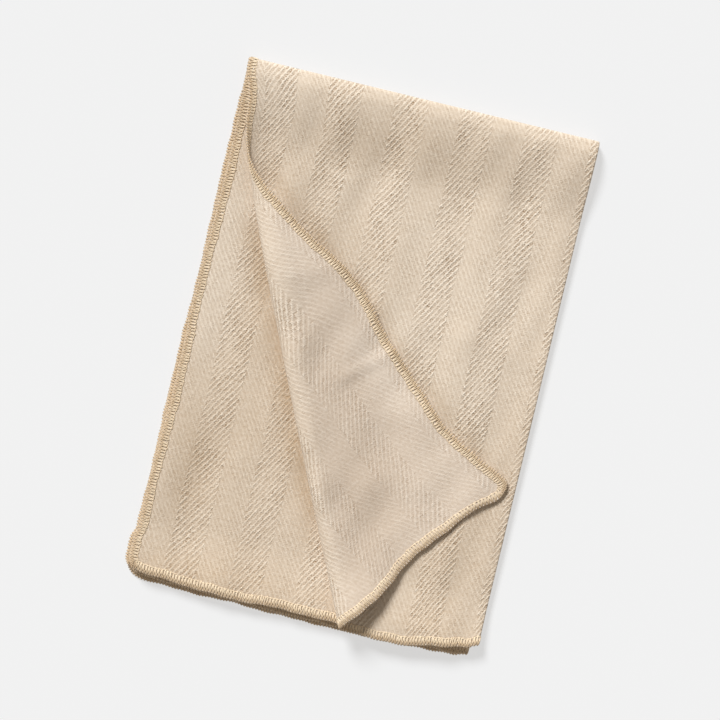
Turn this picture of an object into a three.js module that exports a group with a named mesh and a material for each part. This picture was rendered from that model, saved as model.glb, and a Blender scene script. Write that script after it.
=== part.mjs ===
// A linen kitchen towel, folded in quarters and laid flat, with the top layer's near left corner
// turned over to the right in a soft roll. It is one piece of cloth with overlocked edges.
//
// Millimetres. +X is to the right across the folded towel, +Y runs up to its top fold, +Z is up.
// The origin is at the middle of the outline, on the surface that the towel lies on.
//
// A point of the flat cloth is (u, v): u runs across from the side edge that ends on top, and v runs
// along from the end hem that ends on top. The cloth is folded along the middle of its width, then
// along the middle of its length, so its quarters are the layers 1 (top) to 4 (bottom).

import * as THREE from 'three';

// The cloth as cut and hemmed
const CLOTH_WIDTH = 510;
const CLOTH_LENGTH = 750;
const CLOTH_THICKNESS = 1.1;
const CORNER_INSET = 3.5;          // how far the overlocked corners are rounded inwards
const CORNER_REACH = 8;

// The folded stack
const LAYER_STEP = 1.9;            // from the middle of one layer to the middle of the next
const SIDE_BEND = LAYER_STEP / 2;  // radius of the right-hand fold
const TOP_BEND = LAYER_STEP;       // mean radius of the top fold, which takes both layers round
const HALF_WIDTH = CLOTH_WIDTH / 4;
const HEM_LINE_Y = -190;           // where the end hems would lie if they were straight
const SIDE_FOLD_AT = CLOTH_WIDTH / 2;
const TOP_FOLD_AT = CLOTH_LENGTH / 2;
const TOP_FOLD_Y = HEM_LINE_Y + TOP_FOLD_AT;
const STACK_MIDDLE = TOP_BEND + SIDE_BEND + CLOTH_THICKNESS / 2;

// How far each layer's end hem hangs below the straight line, at places across the towel
const HEM_DROPS = [
  { x: -127.5, layer1: 0.0, layer2: -4.5, layer3: -3.0, layer4: -1.0 },
  { x: -112.0, layer1: 0.5, layer2: -2.5, layer3: -0.5, layer4: 2.6 },
  { x: -76.0, layer1: 1.5, layer2: -0.6, layer3: 1.2, layer4: 4.0 },
  { x: -50.0, layer1: 2.5, layer2: 0.4, layer3: 1.4, layer4: 3.6 },
  { x: -20.0, layer1: 3.0, layer2: -1.0, layer3: 2.6, layer4: 4.5 },
  { x: 30.0, layer1: 3.4, layer2: -0.4, layer3: 2.8, layer4: 4.9 },
  { x: 74.0, layer1: 3.4, layer2: -0.6, layer3: 2.0, layer4: 4.6 },
  { x: 96.0, layer1: -1.8, layer2: -3.0, layer3: 1.2, layer4: 3.4 },
  { x: 117.0, layer1: -5.0, layer2: -6.0, layer3: 1.4, layer4: 2.8 },
  { x: 127.5, layer1: -9.0, layer2: -9.0, layer3: 0.0, layer4: 0.0 },
];
const LOWER_PAIR_SLIP = 5.6;       // the lower fold lies this far in from the upper one, at the hems
const HEM_FALLOFF = 1.5;           // the power by which both fade towards the top fold

// The side edges of the layers under the top one waver a little
const WAVER = 0.7;
const WAVER_LENGTH = 150;
const WAVER_SHIFT = 1.9;           // radians from one layer to the next
const WAVER_REACH = 60;
const WAVER_FADE = 40;             // none of it at the top fold

// The corner that is turned over, in the top layer's own plane
const ROLL_FOOT = { x: 36.7, y: -191 };    // where the roll starts, at the end hem
const ROLL_LEAN = THREE.MathUtils.degToRad(24.3);
const ROLL_LENGTH = 330;
const ROLL_BOW = 1.5;                      // the crease bulges outwards by this at its middle
const ROLL_RADIUS_AT_FOOT = 7.1;
const ROLL_RADIUS_AT_TOP = 11;
const ROLL_HEIGHT_SHARE = 0.8;             // its own weight presses the roll lower than round
const ROLL_GROWTH_LIMIT = 1.2;             // in roll lengths: past that the radius stays
const ROLL_BACK = 12;                      // straight stretch behind the roll
const ROLL_EASE = { atFoot: 100, atTop: 110 };  // radius in which the flap comes down to lie flat
const EDGE_PULL = { move: 7.5, y: 130, reachAlong: 22.5, reachAcross: 32, fade: 20 };

// Where the turned-over cloth is drawn out of its straight lines, as seen from above: at its side
// hem, at its tip and at its end hem. It starts past the crease, in radii of the roll.
const PULLS = [
  { x: -17, y: 45, moveX: 9, moveY: 9.8, reach: 36 },
  { x: 104, y: -66, moveX: 7.6, moveY: 5, reach: 30 },
  { x: 74, y: -116, moveX: -4, moveY: 5.7, reach: 30 },
];
const PULL_START = { pastStart: 1.5, easedOver: 3 };

// The grid of the solid: columns crowd together where the cloth rolls over
const TOP_COLUMNS = 30;
const SIDE_FOLD_COLUMNS = 4;
const UNDER_COLUMNS = 9;
const NEAR_ROWS = 32;
const TOP_FOLD_ROWS = 6;
const FAR_ROWS = 7;
const CROWD = { extra: 5, reach: 17, behindStart: 17, fade: 75 };
const CROWD_SAMPLES = 240;
const SLOPE_STEP = 0.05;
const NEWTON_PASSES = 4;

const { clamp } = THREE.MathUtils;
const ease = (t) => THREE.MathUtils.smoothstep(t, 0, 1);
const bell = (d, reach) => Math.exp(-(d * d) / (2 * reach * reach));

// A column of a table at x, eased from each row to the next
function readTable(table, column, x) {
  const last = table.length - 1;
  const at = clamp(x, table[0].x, table[last].x);
  let i = 0;
  while (i < last - 1 && at > table[i + 1].x) i += 1;
  const share = ease((at - table[i].x) / (table[i + 1].x - table[i].x));
  return table[i][column] + (table[i + 1][column] - table[i][column]) * share;
}

// A strip that goes round a half turn and comes back: its angle there and what lies past it
function halfTurn(distance, foldAt, radius) {
  const start = foldAt - Math.PI * radius / 2;
  const angle = clamp((distance - start) / radius, 0, Math.PI);
  const straight = Math.min(distance, start) - Math.max(distance - start - Math.PI * radius, 0);
  return { angle, straight };
}

// A section through the roll: how far out of its start a point lies, and how high, when it is
// `length` of cloth past that start. The cloth turns by half a turn and a little over, which
// Newton's method finds, runs straight down behind the roll and eases to flat at the rest height.
function rollSection(length, radius, easeRadius, restHeight) {
  let over = Math.sqrt(2 * (2 * radius - restHeight) / easeRadius);
  for (let pass = 0; pass < NEWTON_PASSES; pass += 1) {
    const miss = radius * (1 + Math.cos(over)) - restHeight
      - ROLL_BACK * Math.sin(over) - easeRadius * (1 - Math.cos(over));
    const slope = -(radius + easeRadius) * Math.sin(over) - ROLL_BACK * Math.cos(over);
    over -= miss / slope;
  }
  const turn = (Math.PI + over) * radius;
  const round = clamp(length, 0, turn) / radius;
  const back = clamp(length - turn, 0, ROLL_BACK);
  const easing = clamp((length - turn - ROLL_BACK) / easeRadius, 0, over);
  const flat = Math.max(length - turn - ROLL_BACK - over * easeRadius, 0);
  const out = Math.min(length, 0) + radius * Math.sin(round) - back * Math.cos(over)
    - easeRadius * (Math.sin(over) - Math.sin(over - easing)) - flat;
  const up = radius * (1 - Math.cos(round)) - back * Math.sin(over)
    - easeRadius * (Math.cos(over - easing) - Math.cos(over));
  return { out, up };
}

// Turns the near left corner of the top layer over
function turnCorner(point) {
  const fade = ease((TOP_FOLD_Y - point.y) / EDGE_PULL.fade);
  const pull = EDGE_PULL.move * fade * bell(point.y - EDGE_PULL.y, EDGE_PULL.reachAlong)
    * bell(point.x + HALF_WIDTH, EDGE_PULL.reachAcross);
  const dx = point.x + pull - ROLL_FOOT.x;
  const dy = point.y - ROLL_FOOT.y;
  const upCrease = -dx * Math.sin(ROLL_LEAN) + dy * Math.cos(ROLL_LEAN);
  const share = upCrease / ROLL_LENGTH;
  const bowed = clamp(share, 0, 1);
  const bow = ROLL_BOW * 4 * bowed * (1 - bowed);
  const pastStart = -dx * Math.cos(ROLL_LEAN) - dy * Math.sin(ROLL_LEAN) - bow;
  const grown = clamp(share, 0, ROLL_GROWTH_LIMIT);
  const radius = ROLL_RADIUS_AT_FOOT + (ROLL_RADIUS_AT_TOP - ROLL_RADIUS_AT_FOOT) * grown;
  const easeRadius = ROLL_EASE.atFoot + (ROLL_EASE.atTop - ROLL_EASE.atFoot) * grown;
  const { out, up } = rollSection(pastStart, radius, easeRadius, LAYER_STEP / ROLL_HEIGHT_SHARE);
  const outwards = out + bow;
  const x = ROLL_FOOT.x - upCrease * Math.sin(ROLL_LEAN) - outwards * Math.cos(ROLL_LEAN);
  const y = ROLL_FOOT.y + upCrease * Math.cos(ROLL_LEAN) - outwards * Math.sin(ROLL_LEAN);
  const turned = ease((pastStart / radius - PULL_START.pastStart) / PULL_START.easedOver);
  const moved = new THREE.Vector3(x, y, point.z + up * ROLL_HEIGHT_SHARE);
  for (const drawn of PULLS) {
    const near = turned * bell(Math.hypot(x - drawn.x, y - drawn.y), drawn.reach);
    moved.x += drawn.moveX * near;
    moved.y += drawn.moveY * near;
  }
  return moved;
}

// Where the middle of the cloth at (u, v) lies on the folded towel
function place(u, v) {
  const side = halfTurn(u, SIDE_FOLD_AT, SIDE_BEND);
  const outOfPair = SIDE_BEND * Math.cos(side.angle);
  const across = side.straight + SIDE_BEND * Math.sin(side.angle);
  const top = halfTurn(v, TOP_FOLD_AT, TOP_BEND);
  const bend = TOP_BEND + outOfPair;
  const along = top.straight + bend * Math.sin(top.angle);
  const isTopCloth = u < SIDE_FOLD_AT;
  const isNear = v < TOP_FOLD_AT;
  const upperLayer = isTopCloth ? 1 : 2;
  const lowerLayer = isTopCloth ? 4 : 3;
  const layer = isNear ? upperLayer : lowerLayer;

  const height = STACK_MIDDLE + bend * Math.cos(top.angle);
  const point = new THREE.Vector3(across - HALF_WIDTH, HEM_LINE_Y + along, height);
  const towardsHem = ease((TOP_FOLD_AT - along) / TOP_FOLD_AT) ** HEM_FALLOFF;
  const fromLeft = clamp((point.x + HALF_WIDTH) / (2 * HALF_WIDTH), 0, 1);
  point.y -= readTable(HEM_DROPS, `layer${layer}`, point.x) * towardsHem;
  if (!isNear) point.x -= LOWER_PAIR_SLIP * fromLeft * towardsHem;
  if (layer > 1) {
    const wave = Math.sin(2 * Math.PI * point.y / WAVER_LENGTH + layer * WAVER_SHIFT);
    const nearEdge = 1 - ease((point.x + HALF_WIDTH) / WAVER_REACH);
    point.x += WAVER * wave * nearEdge * ease((TOP_FOLD_Y - point.y) / WAVER_FADE);
  }
  const cornerU = Math.min(u, CLOTH_WIDTH - u);
  const cornerV = Math.min(v, CLOTH_LENGTH - v);
  const inset = CORNER_INSET * bell(Math.hypot(cornerU, cornerV), CORNER_REACH);
  point.x += inset;
  point.y += inset;
  return layer === 1 ? turnCorner(point) : point;
}

// Even steps from one value to another, with both ends
function evenSteps(from, to, steps) {
  return Array.from({ length: steps + 1 }, (_, i) => from + (to - from) * i / steps);
}

// The columns across the top layer at one row, crowded where the roll crosses that row
function crowdedColumns(v, end) {
  const rollX = ROLL_FOOT.x - (HEM_LINE_Y + v - ROLL_FOOT.y) * Math.tan(ROLL_LEAN);
  const middle = rollX + HALF_WIDTH - CROWD.behindStart;
  const extra = CROWD.extra * ease((TOP_FOLD_AT - v) / CROWD.fade);
  const samples = evenSteps(0, end, CROWD_SAMPLES);
  const filled = [0];
  for (let i = 1; i < samples.length; i += 1) {
    filled.push(filled[i - 1] + 1 + extra * bell(samples[i] - middle, CROWD.reach));
  }
  let i = 0;
  return evenSteps(0, filled[CROWD_SAMPLES], TOP_COLUMNS).map((wanted) => {
    while (i < CROWD_SAMPLES - 1 && filled[i + 1] < wanted) i += 1;
    const share = (wanted - filled[i]) / (filled[i + 1] - filled[i]);
    return samples[i] + (samples[i + 1] - samples[i]) * share;
  });
}

// Three stretches put end to end: before a fold, round it and past it
function stretches(foldAt, radius, length, before, around, past) {
  const start = foldAt - Math.PI * radius / 2;
  const end = foldAt + Math.PI * radius / 2;
  const round = evenSteps(start, end, around).slice(1);
  return [...before(start), ...round, ...evenSteps(end, length, past).slice(1)];
}

// The upper and under face of the cloth at (u, v), half its thickness either side of its middle
function faces(u, v) {
  const alongU = place(u + SLOPE_STEP, v).sub(place(u - SLOPE_STEP, v));
  const alongV = place(u, v + SLOPE_STEP).sub(place(u, v - SLOPE_STEP));
  const half = alongU.cross(alongV).setLength(CLOTH_THICKNESS / 2);
  const middle = place(u, v);
  return [middle.clone().add(half), middle.clone().sub(half)];
}

function columnsOfRow(v) {
  const overTop = (end) => crowdedColumns(v, end);
  return stretches(SIDE_FOLD_AT, SIDE_BEND, CLOTH_WIDTH, overTop, SIDE_FOLD_COLUMNS, UNDER_COLUMNS);
}

// The cloth as one closed sheet: its upper and under faces, and a rim round its four edges
function makeCloth() {
  const nearRows = (end) => evenSteps(0, end, NEAR_ROWS);
  const rows = stretches(TOP_FOLD_AT, TOP_BEND, CLOTH_LENGTH, nearRows, TOP_FOLD_ROWS, FAR_ROWS);
  const grid = rows.map((v) => columnsOfRow(v).map((u) => faces(u, v)));
  const columnCount = grid[0].length;
  const sideSize = rows.length * columnCount;
  const positions = [0, 1].flatMap((face) => grid.flat().flatMap((pair) => pair[face].toArray()));
  const upper = (row, column) => row * columnCount + column;
  const under = (row, column) => sideSize + upper(row, column);
  const triangles = [];
  const quad = (a, b, c, d) => triangles.push(a, b, c, a, c, d);
  const lastRow = rows.length - 1;
  const lastColumn = columnCount - 1;
  for (let r = 0; r < lastRow; r += 1) {
    for (let c = 0; c < lastColumn; c += 1) {
      quad(upper(r, c), upper(r, c + 1), upper(r + 1, c + 1), upper(r + 1, c));
      quad(under(r, c), under(r + 1, c), under(r + 1, c + 1), under(r, c + 1));
    }
    quad(upper(r, 0), upper(r + 1, 0), under(r + 1, 0), under(r, 0));
    quad(upper(r, lastColumn), under(r, lastColumn), under(r + 1, lastColumn), upper(r + 1, lastColumn));
  }
  for (let c = 0; c < lastColumn; c += 1) {
    quad(upper(0, c), under(0, c), under(0, c + 1), upper(0, c + 1));
    quad(upper(lastRow, c), upper(lastRow, c + 1), under(lastRow, c + 1), under(lastRow, c));
  }
  const geometry = new THREE.BufferGeometry();
  geometry.setAttribute('position', new THREE.Float32BufferAttribute(positions, 3));
  geometry.setIndex(triangles);
  geometry.computeVertexNormals();
  return geometry;
}

const linen = new THREE.MeshStandardMaterial({ color: 0xd8c8b0, roughness: 0.9, metalness: 0 });
linen.name = 'linen';
const towel = new THREE.Mesh(makeCloth(), linen);
towel.name = 'towel_cloth';
towel.geometry.computeBoundingBox();
const outlineMiddle = towel.geometry.boundingBox.getCenter(new THREE.Vector3());
towel.position.set(-outlineMiddle.x, -outlineMiddle.y, 0);

const foldedTowel = new THREE.Group();
foldedTowel.add(towel);

export default foldedTowel;
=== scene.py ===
# %% [markdown]
# # A linen kitchen towel, folded in quarters
#
# The towel is one rectangle of coarse herringbone linen with overlocked edges. It is folded twice,
# laid flat, and the near left corner of its top layer is turned over to the right in a soft roll.
#
# A simulation could drop a cloth into folds, but it never lands where the real one lies. So the sheet
# is placed by a formula: every point of the flat cloth has a known place on the folded towel, and
# soft troughs and ridges are added one by one. The stitches are real thread, modelled once and copied,
# and the weave is a material that follows the flat cloth.

import bpy
import numpy as np
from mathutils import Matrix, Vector


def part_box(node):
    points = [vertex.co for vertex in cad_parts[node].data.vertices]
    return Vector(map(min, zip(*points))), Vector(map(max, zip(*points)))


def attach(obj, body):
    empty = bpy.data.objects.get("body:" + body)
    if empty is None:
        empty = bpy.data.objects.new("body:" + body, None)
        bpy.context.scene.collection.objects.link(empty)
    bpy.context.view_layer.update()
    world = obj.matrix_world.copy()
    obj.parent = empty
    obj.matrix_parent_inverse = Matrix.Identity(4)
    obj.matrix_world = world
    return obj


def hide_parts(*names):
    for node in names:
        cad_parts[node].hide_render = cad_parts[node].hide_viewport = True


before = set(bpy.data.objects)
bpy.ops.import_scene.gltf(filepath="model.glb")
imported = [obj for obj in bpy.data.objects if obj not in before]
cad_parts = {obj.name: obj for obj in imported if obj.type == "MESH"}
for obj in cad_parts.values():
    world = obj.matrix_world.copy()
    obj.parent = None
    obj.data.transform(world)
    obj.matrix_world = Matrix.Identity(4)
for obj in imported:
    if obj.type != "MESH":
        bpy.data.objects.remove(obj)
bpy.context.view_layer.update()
MM = 0.001

# %% [markdown]
# ## The flat cloth and its two folds
#
# Lengths are in millimetres until the mesh is made. A point of the flat cloth is (u, v): u runs
# across from the side edge that ends on top, and v runs along from the end hem that ends on top. The
# cloth is folded along the middle of its width, then along the middle of its length, so its quarters
# become the layers 1 (top) to 4 (bottom), 1.9 mm from middle to middle. The sheet itself is thinner
# than that, which leaves a little air between the layers, as in a real folded towel.

# %% Sizes of the cloth and the stack
CLOTH_WIDTH = 510
CLOTH_LENGTH = 750
SHEET_THICKNESS = 0.8
LAYER_STEP = 1.9
SIDE_BEND = LAYER_STEP / 2
TOP_BEND = LAYER_STEP
HALF_WIDTH = CLOTH_WIDTH / 4
SIDE_FOLD_AT = CLOTH_WIDTH / 2
TOP_FOLD_AT = CLOTH_LENGTH / 2
HEM_LINE_Y = -190
TOP_FOLD_Y = HEM_LINE_Y + TOP_FOLD_AT
LOWEST_MIDDLE = 0.55
STACK_MIDDLE = LOWEST_MIDDLE + 1.5 * LAYER_STEP


def smooth(share):
    """0 to 1 as share goes from 0 to 1, with soft ends."""
    share = np.clip(share, 0, 1)
    return share * share * (3 - 2 * share)


def bell(distance, reach):
    """1 at no distance, fading smoothly to nothing past about two reaches."""
    return np.exp(-(distance**2) / (2 * reach**2))


def half_turn(distance, fold_at, radius):
    """A strip that goes round a half turn: its angle there, and what lies straight past it."""
    start = fold_at - np.pi * radius / 2
    angle = np.clip((distance - start) / radius, 0, np.pi)
    past = np.maximum(distance - start - np.pi * radius, 0)
    return angle, np.minimum(distance, start) - past


print("folded size, mm:", CLOTH_WIDTH / 2, "x", CLOTH_LENGTH / 2)

# %% [markdown]
# ## Where the hems end up
#
# Nobody folds a towel exactly. Each layer's end hem hangs a little above or below the next one, and
# the lower pair has slipped in from the right. The table gives each layer's drop at places across the
# towel, read off the photograph, and it is eased from each row to the next and fades out upwards.

# %% The uneven hems
HEM_DROPS = np.array([
    # x,     layer 1, 2,    3,    4
    [-127.5, 0.0, -4.5, -3.0, -1.0],
    [-112.0, 0.5, -2.5, -0.5, 2.6],
    [-76.0, 1.5, -0.6, 1.2, 4.0],
    [-50.0, 2.5, 0.4, 1.4, 3.6],
    [-20.0, 3.0, -1.0, 2.6, 4.5],
    [30.0, 3.4, -0.4, 2.8, 4.9],
    [74.0, 3.4, -0.6, 2.0, 4.6],
    [96.0, -1.8, -3.0, 1.2, 3.4],
    [117.0, -5.0, -6.0, 1.4, 2.8],
    [127.5, -9.0, -9.0, 0.0, 0.0],
])
LOWER_PAIR_SLIP = 5.6
UPPER_PAIR_INSET = 1.8
HEM_FALLOFF = 1.5


def hem_drop(layer, x):
    """How far the end hem of each point's layer hangs below the straight line."""
    places = HEM_DROPS[:, 0]
    at = np.clip(x, places[0], places[-1])
    row = np.clip(np.searchsorted(places, at, side="right") - 1, 0, len(places) - 2)
    share = smooth((at - places[row]) / (places[row + 1] - places[row]))
    before = HEM_DROPS[row, layer]
    return before + (HEM_DROPS[row + 1, layer] - before) * share


hem_y = HEM_LINE_Y - hem_drop(np.array([2]), np.array([0.0]))[0]
print("layer 2's end hem at the middle of the towel, y in mm:", hem_y.round(1))

# %% [markdown]
# ## The corner that is turned over
#
# A section through the roll is a half turn and a little over, then straight down behind the roll, and
# then a long easy curve until the flap lies flat on the layer below. Newton's method finds how far the
# turn has to go over. The roll is narrow at the end hem and wider towards the top. Its own weight
# presses it lower than round, most of all near its upper end, where it goes over into the flat layer.
#
# The flap isn't a plain mirror image of the corner. Its hems are drawn out of their straight lines in
# a few places, and each of these pulls is a row with a place, a move and a reach.

# %% The section through the roll
ROLL_BACK = 12
NEWTON_PASSES = 4


def roll_section(length, radius, ease_radius, rest_height):
    """How far out and how high a point lies that is that much cloth past the roll's start."""
    over = np.sqrt(2 * (2 * radius - rest_height) / ease_radius)
    for _ in range(NEWTON_PASSES):
        miss = radius * (1 + np.cos(over)) - rest_height - ROLL_BACK * np.sin(over)
        miss -= ease_radius * (1 - np.cos(over))
        slope = -(radius + ease_radius) * np.sin(over) - ROLL_BACK * np.cos(over)
        over -= miss / slope
    turn = (np.pi + over) * radius
    round_it = np.clip(length, 0, turn) / radius
    back = np.clip(length - turn, 0, ROLL_BACK)
    easing = np.clip((length - turn - ROLL_BACK) / ease_radius, 0, over)
    flat = np.maximum(length - turn - ROLL_BACK - over * ease_radius, 0)
    out = np.minimum(length, 0) + radius * np.sin(round_it) - back * np.cos(over)
    out -= ease_radius * (np.sin(over) - np.sin(over - easing)) + flat
    up = radius * (1 - np.cos(round_it)) - back * np.sin(over)
    up -= ease_radius * (np.cos(over - easing) - np.cos(over))
    return out, up


# %% The place of the roll
ROLL_FOOT = (36.7, -191)
ROLL_LEAN = np.radians(24.3)
ROLL_LENGTH = 330
ROLL_BOW = 1.5
ROLL_RADIUS = (7.1, 11)
ROLL_EASE = (170, 110)
ROLL_GROWTH_LIMIT = 1.2
ROLL_HEIGHT_SHARE = 0.8
# Soft steps: the first two along the roll's length, the last one round it, in radii
ROLL_WIDENS = {"from": 0.9, "over": 0.2, "by": 5}
ROLL_SETTLES = {"from": 0.75, "over": 0.3, "by": 0.4}
TURNED_OVER = {"from": 1.5, "over": 3, "by": 1}
# Where the flap is drawn out of its straight lines: at x, y, moved in x, y, reach
PULLS = [
    (-17, 45, 10.2, 12.0, 36),
    (42, -8, 4.0, 3.4, 24),
    (104, -66, 8.8, 6.0, 26),
    (119, -70, 0.8, 5.0, 11),
    (70, -122, -4.9, 5.9, 28),
    (44, -160, 1.8, -1.2, 18),
    (109, -96, -4.2, 4.4, 14),
]
# The side hem is drawn in at the roll's upper end, but not at the top fold
TOP_END_PULL = (-125, 145, 4.4, 0, 32)
TOP_END_FADE = 30


def soft_step(at, step):
    """A step with soft ends: nothing before it, its whole size past it."""
    return step["by"] * smooth((at - step["from"]) / step["over"])


def turn_corner(x, y):
    """Moves the near left corner of the top layer over. Returns x, y, the height that it gains,
    and how far the cloth has turned over, from 0 to 1."""
    below_fold = smooth((TOP_FOLD_Y - y) / TOP_END_FADE)
    dx = x - ROLL_FOOT[0]
    dy = y - ROLL_FOOT[1]
    sine = np.sin(ROLL_LEAN)
    cosine = np.cos(ROLL_LEAN)
    up_crease = -dx * sine + dy * cosine
    share = up_crease / ROLL_LENGTH
    bowed = np.clip(share, 0, 1)
    widened = soft_step(share, ROLL_WIDENS)
    bow = ROLL_BOW * 4 * bowed * (1 - bowed) - widened
    past_start = -dx * cosine - dy * sine - bow
    grown = np.clip(share, 0, ROLL_GROWTH_LIMIT)
    radius = ROLL_RADIUS[0] + (ROLL_RADIUS[1] - ROLL_RADIUS[0]) * grown + widened
    ease_radius = ROLL_EASE[0] + (ROLL_EASE[1] - ROLL_EASE[0]) * grown
    height_share = ROLL_HEIGHT_SHARE - soft_step(share, ROLL_SETTLES)
    out, up = roll_section(past_start, radius, ease_radius, LAYER_STEP / height_share)
    outwards = out + bow
    x = ROLL_FOOT[0] - up_crease * sine - outwards * cosine
    y = ROLL_FOOT[1] + up_crease * cosine - outwards * sine
    turned = soft_step(past_start / radius, TURNED_OVER)
    for pull, where in [(TOP_END_PULL, below_fold), *((pull, turned) for pull in PULLS)]:
        at_x, at_y, move_x, move_y, reach = pull
        near = bell(np.hypot(x - at_x, y - at_y), reach) * where
        x = x + move_x * near
        y = y + move_y * near
    return x, y, up * height_share, turned


out, up = roll_section(np.array([0.0, 25.0, 50.0]), 9, 105, 2.4)
print("the roll's section after 0, 25 and 50 mm of cloth:", out.round(1), up.round(1))

# %% [markdown]
# ## Soft troughs and ridges
#
# Pressed once and used often, linen is never quite flat: long soft waves run down the cloth, the
# layers part a little towards their free edges, and the thick hems lift them. Each wave here is a
# line on the towel with a width and a height, placed where the photograph shows it. The waves of one
# layer carry all that lies on it, and a trough is never deeper than the air below it, so layers never
# cut into each other.

# %% Waves, listed one by one
# Each row: from x, y, to x, y, half width, height
WAVES_TOP = [
    (-84, 168, -80, 96, 7, 0.9),
    (-58, 182, -46, 120, 9, 0.7),
    (-20, 178, -14, 112, 12, -0.8),
    (6, 140, 2, 40, 10, 1.0),
    (38, 184, 40, 116, 8, -0.8),
    (66, 110, 68, -10, 11, 1.0),
    (52, 74, 54, 40, 5, -0.5),
    (100, 70, 104, -50, 9, -0.8),
    (116, 150, 114, 20, 6, 0.5),
    (40, 30, 112, 22, 6, 0.4),
    (80, 150, 84, 118, 7, -0.6),
    (96, -90, 88, -176, 8, 0.8),
    (-94, 112, -84, 98, 6, -0.8),
    (-30, 64, -12, 44, 7, -0.8),
]
WAVES_UNDER = [
    (-112, 60, -108, -150, 8, 0.7),
    (-92, 62, -84, 22, 6, -0.9),
    (-66, 10, -54, -22, 6, -0.9),
    (-50, -34, -38, -66, 6, -0.9),
    (-24, -96, -10, -124, 6, -0.9),
    (-72, -60, -66, -180, 10, 0.8),
    (-92, -100, -96, -180, 7, -0.6),
    (-34, -130, -30, -186, 9, 0.6),
]
WAVES_FLAP = [
    (-8, -18, 22, 8, 3.5, 0.9),
    (-70, 40, -34, 52, 6, 0.7),
    (-30, -20, 4, -44, 9, -0.5),
    (20, -40, 60, -30, 9, 0.9),
    (8, -92, 40, -84, 8, 0.7),
    (78, -62, 100, -84, 7, 0.8),
    (44, -110, 60, -96, 6, -0.5),
    (-66, 66, -52, 20, 7, -0.4),
]
# A wave fades past its ends over this share of its half width
WAVE_END_SHARE = 1.6


def waves(table, x, y):
    """The sum of all waves or strokes in a table, each with soft ends and a soft section."""
    total = np.zeros_like(x)
    for x0, y0, x1, y1, half_width, amount in table:
        run = np.hypot(x1 - x0, y1 - y0)
        along = ((x - x0) * (x1 - x0) + (y - y0) * (y1 - y0)) / run
        aside = ((x - x0) * (y1 - y0) - (y - y0) * (x1 - x0)) / run
        past = np.maximum(-along, 0) + np.maximum(along - run, 0)
        total += amount * bell(aside, half_width) * bell(past, WAVE_END_SHARE * half_width)
    return total


# %% Small unevenness that no hand would place
chance = np.random.default_rng(7)
RIPPLE_COUNT = 26
RIPPLE_LENGTHS = (26, 90)
RIPPLE_TURN = 0.55
ripple_turns = chance.uniform(-RIPPLE_TURN, RIPPLE_TURN, RIPPLE_COUNT)
ripple_lengths = chance.uniform(*RIPPLE_LENGTHS, RIPPLE_COUNT)
ripple_starts = chance.uniform(0, 2 * np.pi, RIPPLE_COUNT)


def ripples(x, y, shift):
    """Long soft ripples that mostly run down the cloth, about 1 high where they meet."""
    height = np.zeros_like(x)
    for turn, length, start in zip(ripple_turns, ripple_lengths, ripple_starts):
        across = x * np.cos(turn) + y * np.sin(turn)
        height += np.sin(2 * np.pi * across / length + start + shift * length)
    return height / np.sqrt(RIPPLE_COUNT)


print("waves placed by hand:", len(WAVES_TOP) + len(WAVES_UNDER) + len(WAVES_FLAP))

# %% How far the layers lie apart
EDGE_REACH = 45
HEM_REACH = 42
# Nothing parts the layers nearer than this to the side fold and to the top fold
EDGES_OFF_FOLDS = (30, 40)
WAVES_OFF_FOLDS = (12, 16)
FOLD_SWELL = {"from": 122, "over": 50, "by": 1}
FOLD_TIGHTENS = {"from": TOP_FOLD_Y - 11, "over": 11, "by": 0.4}
HEM_REST = {"height": 0.6, "width": 7, "fade": 14}
DEEPEST_TROUGH = -0.9
GAPS = [
    # at the free edges, top fold, end hems; ripples, their shift; waves
    (0.3, 1.4, 0.7, 0.25, 0.3, []),
    (0.6, 2.6, 2.8, 0.35, 1.1, WAVES_UNDER),
    (0.3, 1.5, 0.0, 0.35, 2.3, WAVES_TOP),
]


def off_folds(x, y, reaches):
    """0 at the side fold and at the top fold, 1 beyond the reaches."""
    return smooth((HALF_WIDTH - x) / reaches[0]) * smooth((TOP_FOLD_Y - y) / reaches[1])


def lifts(x, y, height):
    """How much higher the cloth lies than in a perfectly flat stack, at that height in it."""
    free = off_folds(x, y, WAVES_OFF_FOLDS)
    from_left = x + HALF_WIDTH
    from_end = y - HEM_LINE_Y
    edge = 1 - smooth(np.minimum(from_left, from_end) / EDGE_REACH)
    edge = edge * off_folds(x, y, EDGES_OFF_FOLDS)
    fold = soft_step(y, FOLD_SWELL) * (1 - soft_step(y, FOLD_TIGHTENS))
    hem = 1 - smooth(from_end / HEM_REACH)
    on_hem = 1 - smooth((np.minimum(from_left, from_end) - HEM_REST["width"]) / HEM_REST["fade"])
    total = HEM_REST["height"] * on_hem
    for number, (by_edge, by_fold, by_hem, rippled, shift, table) in enumerate(GAPS):
        gap = by_edge * edge + by_fold * fold + by_hem * hem
        gap += free * (waves(table, x, y) + rippled * ripples(x, y, shift))
        share = np.clip((height - LOWEST_MIDDLE) / LAYER_STEP - number, 0, 1)
        total = total + np.maximum(gap, DEEPEST_TROUGH) * share
    return total


print("gaps between layers, from the lowest one:", len(GAPS))

# %% [markdown]
# ## Edges that waver
#
# A cut and overlocked edge is never a ruled line. The side edges waver by up to a millimetre, each
# layer in its own way, and near the bottom left corner the hems kink outwards by two millimetres. The
# cloth's own corners are round, because the overlock seam is taken round them.

# %% The wavering edges
WAVER = 0.7
WAVER_LENGTH = 150
WAVER_SHIFT = 1.9
WAVER_REACH = 60
WAVER_FADE = 40
KINK = {"move": 2.0, "y": -157, "over": 7, "reach": 30}
RIM_WAVER = 0.22
RIM_LENGTHS = (41, 17)
RIM_SHIFT = 2.3
RIM_REACH = 30
CORNER_RADIUS = 10


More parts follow.
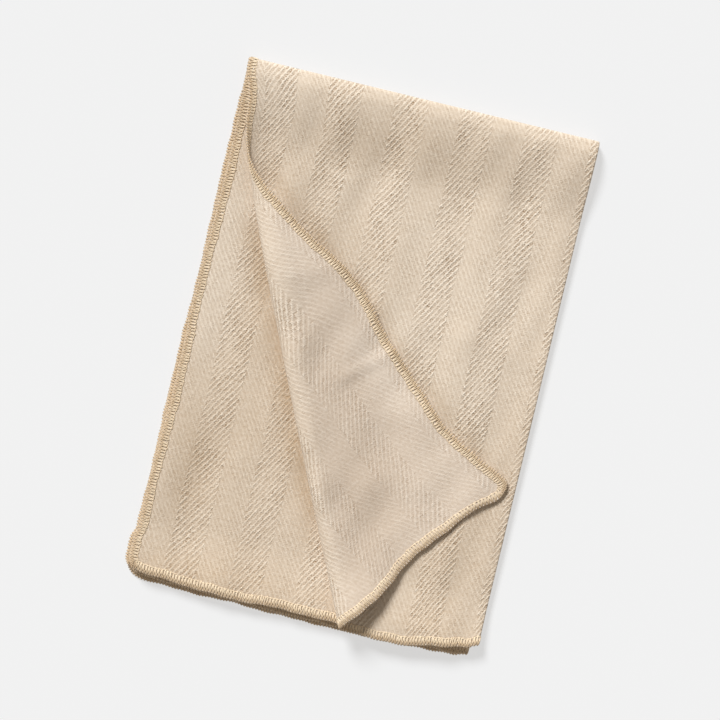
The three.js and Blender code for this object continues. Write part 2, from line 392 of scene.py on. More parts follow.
def waver(x, y, layer):
    """How far each point moves because its layer's edges aren't straight."""
    wave = WAVER * np.sin(2 * np.pi * y / WAVER_LENGTH + layer * WAVER_SHIFT)
    wave = wave * (layer > 1) * smooth((TOP_FOLD_Y - y) / WAVER_FADE)
    left = 1 - smooth((x + HALF_WIDTH) / WAVER_REACH)
    near = 1 - smooth((y - HEM_LINE_Y) / RIM_REACH)
    kinked = smooth((KINK["y"] - y) / KINK["over"]) * bell(x + HALF_WIDTH, KINK["reach"])
    move_x = wave * left - KINK["move"] * kinked * (layer > 1)
    move_y = np.zeros_like(x)
    for number, length in enumerate(RIM_LENGTHS):
        turn = layer * (RIM_SHIFT + number)
        move_x = move_x + RIM_WAVER * np.sin(2 * np.pi * y / length + turn) * left
        move_y = move_y + RIM_WAVER * np.sin(2 * np.pi * x / length + turn) * near
    return move_x, move_y


def round_corner(u, v):
    """How far the points near a corner of the cloth move in, to make it round."""
    from_side = CORNER_RADIUS - np.minimum(u, CLOTH_WIDTH - u)
    from_end = CORNER_RADIUS - np.minimum(v, CLOTH_LENGTH - v)
    larger = np.maximum(from_side, from_end)
    share = larger / np.maximum(np.hypot(from_side, from_end), 0.001)
    inwards = np.where(np.minimum(from_side, from_end) > 0, 1 - share, 0)
    return from_side * inwards, from_end * inwards


# %% Where the middle of the cloth lies
INSET_FADE = 30
FLAP_RIPPLES = {"height": 0.4, "shift": 4.1}
# How far the flap's hems stand off the layer below, and its end hem where it comes off the roll
FLAP_SIDE_HEM = {"lift": 1, "reach": 12}
FLAP_END_HEM = {"lift": 0.6, "reach": 26}
FLAP_OPENING = {"lift": 5, "u": 120, "reach": 17}


def flap_lift(u, v, x, y):
    """How much higher the turned-over cloth lies than flat on the layer below."""
    lift = waves(WAVES_FLAP, x, y) + FLAP_RIPPLES["height"] * ripples(x, y, FLAP_RIPPLES["shift"])
    lift = np.maximum(lift, DEEPEST_TROUGH)
    lift += FLAP_SIDE_HEM["lift"] * bell(u, FLAP_SIDE_HEM["reach"])
    opening = FLAP_OPENING["lift"] * bell(u - FLAP_OPENING["u"], FLAP_OPENING["reach"])
    lift += (FLAP_END_HEM["lift"] + opening) * bell(v, FLAP_END_HEM["reach"])
    return lift


def place_and_turn(u, v):
    """The middle of the cloth at (u, v), and how far it has turned over there."""
    side_angle, side_straight = half_turn(u, SIDE_FOLD_AT, SIDE_BEND)
    top_angle, top_straight = half_turn(v, TOP_FOLD_AT, TOP_BEND)
    bend = TOP_BEND + SIDE_BEND * np.cos(side_angle)
    x = side_straight + SIDE_BEND * np.sin(side_angle) - HALF_WIDTH
    along = top_straight + bend * np.sin(top_angle)
    y = HEM_LINE_Y + along
    height = STACK_MIDDLE + bend * np.cos(top_angle)
    upper = np.where(u < SIDE_FOLD_AT, 1, 2)
    lower = np.where(u < SIDE_FOLD_AT, 4, 3)
    is_near = v < TOP_FOLD_AT
    layer = np.where(is_near, upper, lower)

    towards_hem = smooth((TOP_FOLD_AT - along) / TOP_FOLD_AT) ** HEM_FALLOFF
    from_left = np.clip((x + HALF_WIDTH) / (2 * HALF_WIDTH), 0, 1)
    y = y - hem_drop(layer, x) * towards_hem
    x = x - np.where(is_near, 0, LOWER_PAIR_SLIP) * from_left * towards_hem
    inset = np.where(is_near, UPPER_PAIR_INSET, 0) * (1 - from_left)
    x = x + inset * smooth((TOP_FOLD_Y - y) / INSET_FADE)
    move_x, move_y = waver(x, y, layer)
    round_x, round_y = round_corner(u, v)
    x = x + move_x + round_x
    y = y + move_y + round_y

    turned_x, turned_y, gained, turned = turn_corner(x, y)
    is_top = layer == 1
    x = np.where(is_top, turned_x, x)
    y = np.where(is_top, turned_y, y)
    z = height + lifts(x, y, height)
    z = z + np.where(is_top, gained + turned * flap_lift(u, v, x, y), 0)
    return np.stack([x, y, z], axis=-1), turned * is_top


def place(u, v):
    """The middle of the cloth at (u, v) of the flat towel, before it is centred."""
    return place_and_turn(u, v)[0]


print("middle of the top layer:", place(np.array([127.5]), np.array([250.0]))[0].round(1))

# %% [markdown]
# ## The grid of the sheet
#
# The sheet is a grid over the flat cloth. It needs short steps where the cloth bends: round the two
# folds, and where the roll crosses each row, so there the columns crowd together. The hidden quarters
# get longer steps. The upper and under faces lie half a thickness either side of the middle, and a
# rim closes the four cut edges, so that the cloth is one thin closed solid.

# %% Rows and columns
NEAR_ROWS = 160
FAR_ROWS = 62
TOP_FOLD_ROWS = 10
TOP_COLUMNS = 116
UNDER_COLUMNS = 62
SIDE_FOLD_COLUMNS = 8
CROWD = {"extra": 3.2, "reach": 20, "behind": 17, "fade": 75, "samples": 241}


def crowded(v, end):
    """Places across the top layer at one row, crowded where the roll crosses that row."""
    roll_x = ROLL_FOOT[0] - (HEM_LINE_Y + v - ROLL_FOOT[1]) * np.tan(ROLL_LEAN)
    middle = roll_x + HALF_WIDTH - CROWD["behind"]
    samples = np.linspace(0, end, CROWD["samples"])
    extra = CROWD["extra"] * smooth((TOP_FOLD_AT - v) / CROWD["fade"])
    filled = np.cumsum(1 + extra * bell(samples - middle, CROWD["reach"]))
    filled = filled - filled[0]
    return np.interp(np.linspace(0, filled[-1], TOP_COLUMNS + 1), filled, samples)


def stretches(fold_at, radius, length, before, around, past):
    """Places before a fold, round it and past it. before(start) gives the first of them."""
    start = fold_at - np.pi * radius / 2
    end = fold_at + np.pi * radius / 2
    bend = np.linspace(start, end, around + 1)[1:]
    return np.concatenate([before(start), bend, np.linspace(end, length, past + 1)[1:]])


def near_rows(end):
    """Rows of the near half, up to the top fold."""
    return np.linspace(0, end, NEAR_ROWS + 1)


def columns_of(v):
    """Columns at one row, from the side edge that ends on top to the one that ends below."""
    def over_top(end):
        return crowded(v, end)
    return stretches(SIDE_FOLD_AT, SIDE_BEND, CLOTH_WIDTH, over_top, SIDE_FOLD_COLUMNS, UNDER_COLUMNS)


rows = stretches(TOP_FOLD_AT, TOP_BEND, CLOTH_LENGTH, near_rows, TOP_FOLD_ROWS, FAR_ROWS)
grid_u = np.array([columns_of(v) for v in rows])
grid_v = np.repeat(rows[:, None], grid_u.shape[1], axis=1)
print("grid:", grid_u.shape[0], "rows of", grid_u.shape[1])

# %% Faces either side of the middle
SLOPE_STEP = 0.05


def middle_and_normal(u, v):
    """The middle of the cloth at (u, v) and the direction that its right side faces there."""
    along_u = place(u + SLOPE_STEP, v) - place(u - SLOPE_STEP, v)
    along_v = place(u, v + SLOPE_STEP) - place(u, v - SLOPE_STEP)
    normal = np.cross(along_u, along_v)
    normal /= np.linalg.norm(normal, axis=-1, keepdims=True)
    return place(u, v), normal


middle, normal = middle_and_normal(grid_u, grid_v)
right_side = middle + normal * SHEET_THICKNESS / 2
wrong_side = middle - normal * SHEET_THICKNESS / 2
sheet_points = np.concatenate([right_side.reshape(-1, 3), wrong_side.reshape(-1, 3)])
node_low, node_high = (np.array(corner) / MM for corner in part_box("towel_cloth"))
sheet_middle = (sheet_points.min(axis=0) + sheet_points.max(axis=0)) / 2
CENTRING = np.array([*(sheet_middle - (node_low + node_high) / 2)[:2], 0])
print("shift to the towel's middle, mm:", CENTRING.round(2))

# %% The sheet's mesh
def grid_quads(row_count, column_count):
    """Corner numbers of every square of the grid, for its right side."""
    numbers = np.arange(row_count * column_count).reshape(row_count, column_count)
    corners = [numbers[:-1, :-1], numbers[:-1, 1:], numbers[1:, 1:], numbers[1:, :-1]]
    return np.stack(corners, axis=-1).reshape(-1, 4), numbers


right_quads, numbers = grid_quads(*grid_u.shape)
side_size = numbers.size
wrong_quads = right_quads[:, ::-1] + side_size
edge = np.concatenate([numbers[0, :-1], numbers[:-1, -1], numbers[-1, :0:-1], numbers[:0:-1, 0]])
following = np.roll(edge, -1)
rim_quads = np.stack([following, edge, edge + side_size, following + side_size], axis=-1)
sheet_quads = np.concatenate([right_quads, wrong_quads, rim_quads])


def make_piece(name, points_mm, faces):
    """A new object at the origin, with its place in its mesh, from points in millimetres."""
    mesh = bpy.data.meshes.new(name)
    mesh.from_pydata(((points_mm - CENTRING) * MM).tolist(), [], faces)
    mesh.validate()
    piece = bpy.data.objects.new(name, mesh)
    bpy.context.collection.objects.link(piece)
    bpy.ops.object.select_all(action="DESELECT")
    piece.select_set(True)
    bpy.context.view_layer.objects.active = piece
    return piece


RIM_ANGLE = np.radians(60)
cloth = make_piece("folded_cloth", sheet_points, sheet_quads.tolist())
bpy.ops.object.shade_smooth_by_angle(angle=RIM_ANGLE)
print("cloth:", len(cloth.data.polygons), "quads")


# %% The flat cloth as a UV map, and which side is which
def add_flat_map(piece, name, places):
    """A UV map from one pair of numbers a vertex."""
    layer = piece.data.uv_layers.new(name=name)
    corner_of = np.empty(len(piece.data.loops), dtype=int)
    piece.data.loops.foreach_get("vertex_index", corner_of)
    layer.uv.foreach_set("vector", places[corner_of].astype(np.float32).ravel())


flat_places = np.stack([grid_u, grid_v], axis=-1).reshape(-1, 2) * MM
add_flat_map(cloth, "FlatCloth", np.concatenate([flat_places, flat_places]))


def add_number(piece, name, values):
    """A number for each vertex, which a material can read."""
    attribute = piece.data.attributes.new(name, "FLOAT", "POINT")
    attribute.data.foreach_set("value", values.astype(np.float32))


add_number(cloth, "wrong_side", np.repeat([0.0, 1.0], side_size))
turned_over = place_and_turn(grid_u, grid_v)[1].ravel()
add_number(cloth, "on_flap", np.concatenate([turned_over, turned_over]))
print("UV map in metres of flat cloth, up to", flat_places.max(axis=0))

# %% [markdown]
# ## Lighter and darker places
#
# Painted shade and painted highlight: the linen is made darker where it rolls away from the light or
# lies in the shade of the roll, a hem or a fold, and lighter where it faces the light, besides some
# uneven tone.
# Each row is one soft stroke on the folded towel, read off the photograph, and each layer that shows
# has its own table. The function for the waves adds them up, and the sum becomes one more number for
# each vertex, which the linen adds to its tone.

# %% Soft strokes
# Each row: from x, y, to x, y, half width, how much lighter. Below 0 it is painted shade, above 0
# painted highlight
PAINTED_SHADING_TOP = [
    (-118, 182, 118, 182, 5, 0.1),
    (-50, 147, 50, 147, 13, -0.15),
    (-110, 164, -60, 160, 14, 0.15),
    (85, 100, 85, 20, 28, 0.2),
    (25, 80, 25, 35, 22, 0.2),
    (-35, 112, -10, 112, 12, 0.1),
    (-94, 108, -52, 74, 5, -0.3),
    (-48, 70, 0, 34, 4, -0.35),
    (4, 26, 92, -48, 4, -0.3),
    (50, -180, 120, -178, 7, -0.1),
    (100, -90, 95, -165, 20, -0.2),
    (-92, 84, 32, -184, 4, 0.12),
]
PAINTED_SHADING_FLAP = [
    (-80, 75, -70, 45, 12, 0.2),
    (100, -70, 112, -74, 9, 0.05),
    (-2, 2, 28, -22, 8, 0.25),
    (-20, -30, 20, -90, 26, -0.15),
    (20, -110, 40, -150, 20, -0.15),
]
PAINTED_SHADING_UNDER = [
    (-113, 70, -112, -5, 12, 0.35),
    (-118, -180, 120, -180, 9, -0.25),
    (-99, -105, -99, -125, 10, -0.3),
    (-90, -60, -70, -150, 34, -0.15),
    (-98, 66, -10, -130, 6, -0.25),
    (-94, 64, -80, 32, 5, -0.35),
    (-64, 4, -56, -14, 4, -0.35),
    (-49, -30, -42, -46, 4, -0.45),
    (-32, -70, -10, -116, 4, -0.4),
]

middle_x = middle[..., 0].ravel()
middle_y = middle[..., 1].ravel()
is_near_half = (grid_v < TOP_FOLD_AT).ravel()
is_first = is_near_half & (grid_u < SIDE_FOLD_AT).ravel()
on_top = waves(PAINTED_SHADING_TOP, middle_x, middle_y)
on_top += turned_over * (waves(PAINTED_SHADING_FLAP, middle_x, middle_y) - on_top)
# lighter holds painted shade and painted highlight, on whichever layer shows at each vertex
lighter = np.where(is_first, on_top, waves(PAINTED_SHADING_UNDER, middle_x, middle_y) * is_near_half)
add_number(cloth, "lighter", np.concatenate([lighter, lighter]))
print("lighter by", lighter.min().round(2), "to", lighter.max().round(2))

# %% [markdown]
# ## The overlocked hem
#
# An overlock seam wraps soft, fluffy thread round the cut edge. Each stitch starts at the needle line,
# runs over the upper face to the edge, goes round it and comes back underneath, and the next stitch
# follows close behind. The needle's own thread lies along the needle line in short stitches.
#
# One thread of a stitch is made as a curve with a round section, made a mesh, and copied along all
# four edges, and so is a second one that leans the other way: about 1150 stitches in all. The copies
# are bent round the hem by the same formula that places the cloth. A stitch has its own three
# directions: s along the edge, t inwards from it, and n off the cloth's face.

# %% One stitch of two threads
HEM_WIDTH = 5.8
STITCH_PITCH = 2.2
THREAD_RADIUS = 0.3
FLATTENED = 1.9
MERGE_WITHIN = 0.01


def thread_template(name, path, radius, flattened=1):
    """A short thread along a path of (s, t, n), as its points and faces. It is that much wider
    along the edge than it is thick."""
    curve = bpy.data.curves.new(name, "CURVE")
    curve.dimensions = "3D"
    curve.bevel_depth = radius
    curve.bevel_resolution = 0
    curve.use_fill_caps = True
    spline = curve.splines.new("POLY")
    spline.points.add(len(path) - 1)
    for point, (along, inwards, off) in zip(spline.points, path):
        point.co = (along / flattened, inwards, off, 1)
    thread = bpy.data.objects.new(name, curve)
    bpy.context.collection.objects.link(thread)
    bpy.ops.object.select_all(action="DESELECT")
    thread.select_set(True)
    bpy.context.view_layer.objects.active = thread
    bpy.ops.object.convert(target="MESH")
    bpy.ops.object.mode_set(mode="EDIT")
    bpy.ops.mesh.select_all(action="SELECT")
    bpy.ops.mesh.remove_doubles(threshold=MERGE_WITHIN)
    bpy.ops.object.mode_set(mode="OBJECT")
    points = np.array([vertex.co for vertex in thread.data.vertices]) * (flattened, 1, 1)
    faces = [list(polygon.vertices) for polygon in thread.data.polygons]
    bpy.data.objects.remove(thread)
    return points, faces


HALF_PITCH = STITCH_PITCH / 2
THERE_PATH = [
    (-HALF_PITCH, HEM_WIDTH + 0.3, 0.3),
    (-0.9 * HALF_PITCH, HEM_WIDTH - 0.6, 0.6),
    (-0.6 * HALF_PITCH, 3.0, 0.72),
    (-0.25 * HALF_PITCH, 0.7, 0.66),
    (0, -0.4, 0.0),
    (0.25 * HALF_PITCH, 0.7, -0.66),
    (0.6 * HALF_PITCH, 3.0, -0.72),
    (0.9 * HALF_PITCH, HEM_WIDTH - 0.6, -0.6),
    (HALF_PITCH, HEM_WIDTH + 0.3, -0.3),
]
BACK_PATH = [(-along, inwards, off) for along, inwards, off in THERE_PATH]
loop_points, loop_faces = thread_template("overlock_loop", THERE_PATH, THREAD_RADIUS, FLATTENED)
back_points, back_faces = thread_template("overlock_loop", BACK_PATH, THREAD_RADIUS, FLATTENED)
print("one thread of a stitch:", len(loop_points), "points,", len(loop_faces), "faces")

# %% [markdown]
# ## Thread round all four edges
#
# The edges are walked one after another. Near a corner a stitch can't be as deep as elsewhere, since
# it would run into the next edge's stitches, so there the hem is mitred. Each stitch is a little
# different in place, slant and depth, by random numbers with a fixed seed.

# %% Copy threads along the edges
EDGES = [
    # length of the edge, start (u, v), direction along, direction inwards
    (CLOTH_WIDTH, (0, 0), (1, 0), (0, 1)),
    (CLOTH_LENGTH, (CLOTH_WIDTH, 0), (0, 1), (-1, 0)),
    (CLOTH_WIDTH, (CLOTH_WIDTH, CLOTH_LENGTH), (-1, 0), (0, -1)),
    (CLOTH_LENGTH, (0, CLOTH_LENGTH), (0, -1), (1, 0)),
]
# How uneven the stitches are along the edge, in mm, and their slant and depth compared with that
LOOP_JITTER = 0.12
SLANT_SHARE = 0.35
DEPTH_SHARE = 0.4
LEAST_ROOM = 0.12


def along_edges(template, faces, jitter):
    """Copies of a thread along all edges: points, their (s, t) in metres, and faces."""
    all_points, all_places, all_faces = [], [], []
    count = 0
    for length, start, ahead, inwards in EDGES:
        stitches = round(length / STITCH_PITCH)
        at = (np.arange(stitches) + 0.5) * length / stitches
        at = at + chance.normal(0, jitter, stitches)
        slant = chance.normal(0, SLANT_SHARE * jitter, stitches)
        depth = 1 + chance.normal(0, DEPTH_SHARE * jitter, stitches)
        room = np.clip(np.minimum(at, length - at) / HEM_WIDTH, LEAST_ROOM, 1)
        s = at[:, None] + template[:, 0] + slant[:, None] * template[:, 1]
        t = template[:, 1] * np.where(template[:, 1] > 0, (depth * room)[:, None], 1)
        n = np.broadcast_to(template[:, 2], s.shape)
        u = start[0] + ahead[0] * s + inwards[0] * t
        v = start[1] + ahead[1] * s + inwards[1] * t
        spot, facing = middle_and_normal(u, v)
        all_points.append((spot + facing * n[..., None]).reshape(-1, 3))
        all_places.append(np.stack([s, t], axis=-1).reshape(-1, 2) * MM)
        for number in range(stitches):
            first = count + number * len(template)
            all_faces.extend([[first + corner for corner in face] for face in faces])
        count += stitches * len(template)
    return np.concatenate(all_points), np.concatenate(all_places), all_faces


there, there_places, there_faces = along_edges(loop_points, loop_faces, LOOP_JITTER)
back, back_places, back_faces = along_edges(back_points, back_faces, LOOP_JITTER)
faces = there_faces + [[corner + len(there) for corner in face] for face in back_faces]
points = np.concatenate([there, back])
places = np.concatenate([there_places, back_places])
loops = make_piece("overlock_loops", points, faces)
bpy.ops.object.shade_smooth()
add_flat_map(loops, "AlongHem", places)
print("loops:", len(faces), "faces")

# %% The needle's thread, on both faces
NEEDLE_RADIUS = 0.28
NEEDLE_JITTER = 0.08
NEEDLE_PATH = [
    (-0.95, HEM_WIDTH, 0.25),
    (-0.6, HEM_WIDTH, 0.62),
    (0.6, HEM_WIDTH, 0.62),
    (0.95, HEM_WIDTH, 0.25),
]
needle_points, needle_faces = thread_template("needle_stitch", NEEDLE_PATH, NEEDLE_RADIUS)
under_points = needle_points * (1, 1, -1)
both_points = np.concatenate([needle_points, under_points])
flipped = [[corner + len(needle_points) for corner in face[::-1]] for face in needle_faces]
points, places, faces = along_edges(both_points, needle_faces + flipped, NEEDLE_JITTER)
needle_line = make_piece("overlock_needle_line", points, faces)
bpy.ops.object.shade_smooth()
add_flat_map(needle_line, "AlongHem", places)
print("needle line:", len(faces), "faces")

# %% [markdown]
# ## A small helper for materials
#
# A pattern such as a weave is arithmetic on places. Written as Python expressions it can be read, so
# `Varying` wraps a socket of the node tree, and each operator on it adds a Math node. Everything else
# goes through `Finish.add`, which takes a node's type, its settings and its inputs.

# %% Numbers that vary over a surface
class Varying:
    """A number, colour or vector that varies over the surface."""

    def __init__(self, finish, socket):
        self.finish = finish
        self.socket = socket

    def math(self, operation, *values):
        inputs = dict(enumerate(values))
        return self.finish.add("ShaderNodeMath", {"operation": operation}, inputs)

    def __add__(self, other):
        return self.math("ADD", self, other)

    def __sub__(self, other):
        return self.math("SUBTRACT", self, other)

    def __rsub__(self, other):
        return self.math("SUBTRACT", other, self)

    def __mul__(self, other):
        return self.math("MULTIPLY", self, other)

    def __truediv__(self, other):
        return self.math("DIVIDE", self, other)

    def __mod__(self, other):
        return self.math("FLOORED_MODULO", self, other)

    def __pow__(self, other):
        return self.math("POWER", self, other)

    def __lt__(self, other):
        return self.math("LESS_THAN", self, other)

    __radd__ = __add__
    __rmul__ = __mul__


class Finish:
    """A material with one Principled shader."""

    def __init__(self, name, **constants):
        self.material = bpy.data.materials.new(name)
        self.material.use_nodes = True
        self.tree = self.material.node_tree
        self.shader = self.tree.nodes["Principled BSDF"]
        for socket_name, value in constants.items():
            self.shader.inputs[socket_name.replace("_", " ")].default_value = value

    def add(self, kind, settings=None, inputs=None, output=0):
        """Adds a node, sets it up, fills its sockets, and returns one of its outputs."""
        node = self.tree.nodes.new(kind)
        for key, value in (settings or {}).items():
            setattr(node, key, value)
        for key, value in (inputs or {}).items():
            self.fill(node.inputs[key], value)
        return Varying(self, node.outputs[output])

    def fill(self, socket, value):
        if isinstance(value, Varying):
            self.tree.links.new(value.socket, socket)
        else:
            socket.default_value = value

    def blend(self, share, first, second):
        """A colour between two colours, or a little past one of them."""
        settings = {"data_type": "RGBA", "clamp_factor": False}
        return self.add("ShaderNodeMix", settings, {0: share, 6: first, 7: second}, output=2)

    def noise(self, vector, scale, detail=2.0, roughness=0.5):
        inputs = {"Vector": vector, "Scale": scale, "Detail": detail, "Roughness": roughness}
        return self.add("ShaderNodeTexNoise", None, inputs)

    def stretched(self, vector, x, y):
        """The vector with its sides multiplied, so that a noise on it is stretched."""
        inputs = {"Vector": vector, "Scale": (x, y, 1)}
        return self.add("ShaderNodeMapping", None, inputs)


def colour(red, green, blue):
    """A colour as a screen shows it, 0 to 255, as the shader needs it."""
    shares = np.array([red, green, blue]) / 255
    linear = np.where(shares < 0.04045, shares / 12.92, ((shares + 0.055) / 1.055) ** 2.4)
    return (*linear.tolist(), 1)


# %% [markdown]
# ## Herringbone linen
#
# The cloth is a 2/2 twill: each lengthwise thread goes over two crosswise threads and under two, and
# its neighbour does the same one thread later, which draws steep diagonal lines. Every 28 threads the
# step changes direction, and the lines turn into a herringbone.
#
# The material counts the threads from the flat cloth's UV map, which a slow noise bends a little, as
# threads wander in a washed cloth. Which thread is on top follows from the two counts, and each float
# is a little hill: round across the thread and arched along it. Added to a rib that runs along the
# diagonal, it is the height for the bump, and its low places are darker, because little light gets in.

# %% Threads of the cloth
WARP_PITCH = 0.845 * MM
WEFT_PITCH = 1.35 * MM
THREADS_A_STRIPE = 28
FIRST_STRIPE_AT = 12.4 * MM
WANDER_ACROSS = 2.2 * MM
WANDER_ALONG = 3.0 * MM
# How fine each noise is: about so many lumps in a metre of cloth
LUMPS = {
    "wander across": 38,
    "wander along": 31,
    "broken ribs": 500,
    "streaks": 90,
    "clouds": 22,
    "fuzz": 1500,
    "slubs": 430,
    "worn": 80,
    "crisp": 330,
}

linen = Finish("linen_herringbone", Roughness=0.92, Sheen_Weight=0.12, Sheen_Roughness=0.6)
linen.shader.inputs["Specular IOR Level"].default_value = 0.2
flat = linen.add("ShaderNodeUVMap", {"uv_map": "FlatCloth"}, output="UV")
wander_across = linen.noise(flat, LUMPS["wander across"])
wander_along = linen.noise(linen.stretched(flat, 1.3, 0.8), LUMPS["wander along"])
sides = linen.add("ShaderNodeSeparateXYZ", None, {0: flat}, output="X")
flat_u = sides + (wander_across - 0.5) * WANDER_ACROSS
flat_v = Varying(linen, sides.socket.node.outputs["Y"]) + (wander_along - 0.5) * WANDER_ALONG
warp_place = (flat_u - FIRST_STRIPE_AT) / WARP_PITCH
weft_place = flat_v / WEFT_PITCH
in_warp = warp_place % 1
in_weft = weft_place % 1
warp_number = warp_place - in_warp
weft_number = weft_place - in_weft
print("threads counted from the map FlatCloth")

# %% Which thread is on top
stripe = warp_number / THREADS_A_STRIPE
is_even = (stripe % 2) < 1
leaning = 1 - 2 * is_even
wrong_side_mark = linen.add("ShaderNodeAttribute", {"attribute_name": "wrong_side"}, output="Fac")
forward = is_even * (1 - 2 * wrong_side_mark) + wrong_side_mark
step = (leaning * warp_number + weft_number + 2 * wrong_side_mark) % 4
warp_on_top = step < 1.5
print("2/2 twill, turning every", THREADS_A_STRIPE, "threads")

# %% The little hills
WEFT_HILL_SHARE = 0.6
RIB_BREAKS = 4
warp_along = (step + in_weft) / 2
weft_from_start = is_even + leaning * in_warp
weft_along = (step - 2 + weft_from_start) / 2


def hill(finish, along, across):
    """A float's height: arched along the thread, round across it."""
    arch = finish.add("ShaderNodeMath", {"operation": "SINE"}, {0: along * np.pi})
    aside = across * 2 - 1
    return arch * (1 - aside * aside)


warp_hill = hill(linen, warp_along, in_warp)
weft_hill = hill(linen, weft_along, in_weft)
hills = warp_on_top * warp_hill + (1 - warp_on_top) * weft_hill * WEFT_HILL_SHARE
slant = leaning * warp_place + weft_place + 2 * wrong_side_mark - (1.5 - is_even)
slant = slant + (linen.noise(flat, LUMPS["broken ribs"], 1.0) - 0.5) * RIB_BREAKS
rib = linen.add("ShaderNodeMath", {"operation": "SINE"}, {0: (slant / 2 + 0.5) * np.pi})
rib = rib * 0.5 + 0.5
relief = rib * 0.5 + hills * 0.5
print("relief from 0 to 1")

# %% [markdown]
# Linen yarn is uneven: thick and thin places, and fibres from cream to straw. Two noises stretched
# along the threads give the yarns their streaks, a slow one gives the cloth the faint clouds of a
# fabric that has been washed, and two fine ones give it its slubs and its fuzz.
#
# The weave isn't equally crisp everywhere. It is flatter where the cloth is worn, in the stripes that
# lean the other way, and on the wrong side, which shows on the flap and is a little greyer.

# %% Colours of the yarn
YARN_DARKER = colour(214, 194, 169)
YARN_LIGHTER = colour(247, 233, 214)
YARN_GREYER = colour(236, 226, 228)
GREYER_SHARE = 0.12
warp_streaks = linen.noise(linen.stretched(flat, 12, 1), LUMPS["streaks"], 3.0)
weft_streaks = linen.noise(linen.stretched(flat, 1, 8), LUMPS["streaks"], 3.0)
streaks = warp_on_top * warp_streaks + (1 - warp_on_top) * weft_streaks
clouds = linen.noise(flat, LUMPS["clouds"], 3.0, 0.6)
fuzz = linen.noise(flat, LUMPS["fuzz"])
slubs = linen.noise(flat, LUMPS["slubs"])
# The attribute lighter is painted shade and painted highlight, added to the yarn's tone
painted_shading_mark = linen.add("ShaderNodeAttribute", {"attribute_name": "lighter"}, output="Fac")
tone = (streaks - 0.5) * 1.1 + (clouds - 0.5) * 0.35 + (fuzz - 0.5) * 0.3
tone = tone + (slubs - 0.5) * 0.8 + painted_shading_mark + 0.5
yarn = linen.blend(tone, YARN_DARKER, YARN_LIGHTER)
on_flap = linen.add("ShaderNodeAttribute", {"attribute_name": "on_flap"}, output="Fac")
yarn = linen.blend(on_flap * GREYER_SHARE, yarn, YARN_GREYER)
print("yarn from darker to lighter")

# %% How crisp the weave is
GAP_COLOUR = colour(142, 108, 70)
MEAN_GAP = 0.37
GAP_SHARE = 0.21
FLAP_SOFTER = 0.45
OTHER_WAY_SOFTER = 0.55
BUMP_HEIGHT = 0.45 * MM
worn = linen.noise(linen.stretched(flat, 1, 0.5), LUMPS["worn"])
crisp = linen.add("ShaderNodeMapRange", {"interpolation_type": "SMOOTHSTEP"}, {
    "Value": worn, "From Min": 0.38, "From Max": 0.64, "To Min": 0.65, "To Max": 1.2})
crisp = crisp * (1 - FLAP_SOFTER * on_flap) * (1 - OTHER_WAY_SOFTER * (1 - forward))
crisp = crisp * ((linen.noise(flat, LUMPS["crisp"]) - 0.5) * 2.2 + 0.8)
shut_in = ((1 - relief) ** 2 - MEAN_GAP) * crisp + GAP_SHARE
cloth_colour = linen.blend(shut_in, yarn, GAP_COLOUR)
linen.fill(linen.shader.inputs["Base Color"], cloth_colour)
bump_height = relief * crisp + fuzz * 0.15 + (streaks - 0.5) * 0.35
bump_inputs = {"Strength": 1.0, "Distance": BUMP_HEIGHT, "Height": bump_height}
linen.fill(linen.shader.inputs["Normal"], linen.add("ShaderNodeBump", None, bump_inputs))
cloth.data.materials.append(linen.material)
print("linen nodes:", len(linen.tree.nodes))

# %% [markdown]
# ## Overlock thread
#
# The hem's thread is bulky and soft, and cream with tan patches. Round the cut edge it is mostly tan,
# which is painted shade: the darker line along the edge, where the thread turns away from the light.
# The map along the hem tells how far in from the edge a place is.

# %% The thread's material
EDGE_SHADE_FADES_FROM = 1.4 * MM
EDGE_SHADE_FADES_TO = 4.2 * MM
PATCH_SHARE = 0.9
thread = Finish("overlock_thread", Roughness=0.9, Sheen_Weight=0.15, Sheen_Roughness=0.6)
thread.shader.inputs["Specular IOR Level"].default_value = 0.2
hem_place = thread.add("ShaderNodeUVMap", {"uv_map": "AlongHem"}, output="UV")
inwards = thread.add("ShaderNodeSeparateXYZ", None, {0: hem_place}, output="Y")
# Painted shade: tan at the cut edge, fading to cream from 1.4 to 4.2 mm inwards
clear_of_edge_shade = thread.add("ShaderNodeMapRange", {"interpolation_type": "SMOOTHSTEP"}, {
    "Value": inwards, "From Min": EDGE_SHADE_FADES_FROM, "From Max": EDGE_SHADE_FADES_TO})
fibres = thread.noise(thread.stretched(hem_place, 1, 0.25), 2600)
patches = thread.noise(hem_place, 160)
cream = thread.blend(fibres, colour(220, 195, 161), colour(247, 229, 200))
tan = thread.blend(fibres, colour(192, 164, 129), colour(222, 198, 165))
bands = thread.blend(clear_of_edge_shade + (patches - 0.5) * PATCH_SHARE, tan, cream)
thread.fill(thread.shader.inputs["Base Color"], bands)
bump_inputs = {"Strength": 0.6, "Distance": 0.12 * MM, "Height": fibres}
thread.fill(thread.shader.inputs["Normal"], thread.add("ShaderNodeBump", None, bump_inputs))
loops.data.materials.append(thread.material)
needle_line.data.materials.append(thread.material)
print("thread nodes:", len(thread.tree.nodes))

# %% [markdown]
# ## Floor, light and camera
#
# The towel lies on a plain pale floor. It glows faintly, like a white table lit from below, so that
# shadows on it stay as pale as in the photograph. A broad soft light comes from the upper left of the
# picture, low enough to draw the weave, and even, faintly warm surroundings fill the shadows. The
# camera looks straight down, turned so that the towel leans to the right.

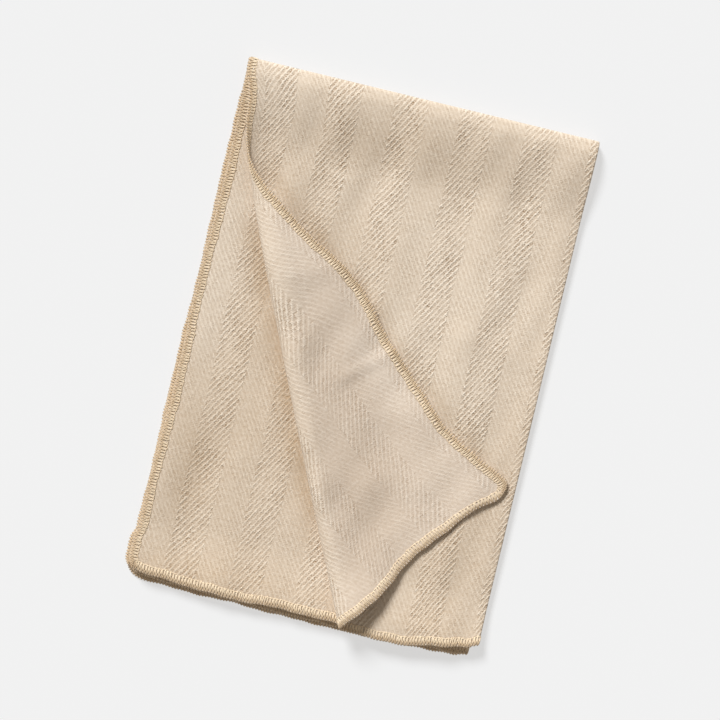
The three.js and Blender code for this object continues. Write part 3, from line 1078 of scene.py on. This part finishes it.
# %% The floor
FLOOR_SIZE = 12
FLOOR_HEIGHT = -0.2 * MM
FLOOR_GREY = 0.3
FLOOR_GLOW = 0.577
bpy.ops.object.select_all(action="DESELECT")
bpy.ops.mesh.primitive_plane_add(size=FLOOR_SIZE, location=(0, 0, FLOOR_HEIGHT))
floor = bpy.context.object
floor.name = "pale_floor"
paper = Finish("pale_paper", Roughness=0.95)
paper.shader.inputs["Base Color"].default_value = (FLOOR_GREY, FLOOR_GREY, FLOOR_GREY, 1)
paper.shader.inputs["Emission Color"].default_value = (1, 1, 1, 1)
paper.shader.inputs["Emission Strength"].default_value = FLOOR_GLOW
paper.shader.inputs["Specular IOR Level"].default_value = 0.0
floor.data.materials.append(paper.material)
print("floor:", FLOOR_SIZE, "m wide")

# %% The light
LIGHT_ELEVATION = np.radians(38)
LIGHT_PLAN = Vector((-0.6, 0.8, 0)).normalized() * np.cos(LIGHT_ELEVATION)
LIGHT_FROM = LIGHT_PLAN + Vector((0, 0, np.sin(LIGHT_ELEVATION)))
LIGHT_STRENGTH = 3.8
LIGHT_COLOUR = (0.952, 0.973, 1)
LIGHT_SOFTNESS = np.radians(19)
SURROUNDINGS_COLOUR = (1, 0.953, 0.89, 1)
SURROUNDINGS_STRENGTH = 0.31
sun = bpy.data.lights.new("window_light", "SUN")
sun.energy = LIGHT_STRENGTH
sun.color = LIGHT_COLOUR
sun.angle = LIGHT_SOFTNESS
lamp = bpy.data.objects.new("window_light", sun)
lamp.rotation_euler = LIGHT_FROM.to_track_quat("Z", "Y").to_euler()
bpy.context.collection.objects.link(lamp)
world = bpy.data.worlds.new("soft_surroundings")
world.use_nodes = True
background = world.node_tree.nodes["Background"]
background.inputs["Color"].default_value = SURROUNDINGS_COLOUR
background.inputs["Strength"].default_value = SURROUNDINGS_STRENGTH
bpy.context.scene.world = world
bpy.context.scene.view_settings.view_transform = "Standard"
print("light from", [round(c, 2) for c in LIGHT_FROM])

# %% The camera
CAMERA_TURN = np.radians(13.6)
CAMERA_HEIGHT = 1.21
LENS = 85
view = bpy.data.cameras.new("overhead")
view.lens = LENS
camera = bpy.data.objects.new("overhead", view)
camera.location = (0, 0, CAMERA_HEIGHT)
camera.rotation_euler = (0, 0, CAMERA_TURN)
bpy.context.collection.objects.link(camera)
bpy.context.scene.camera = camera
print("camera", CAMERA_HEIGHT, "m up")

# %% [markdown]
# ## What each piece is
#
# The sheet stands for the CAD cloth, which stays behind as the shape that collides, hidden. The
# stitching rides on the same body. Nothing else holds the towel: it lies folded on the surface.

# %% Tie the pieces to the frame
SLOTS = [(cloth, "linen_cloth"), (loops, "overlock_thread"), (needle_line, "overlock_thread")]
for piece, slot in SLOTS:
    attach(piece, "root")
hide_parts("towel_cloth")
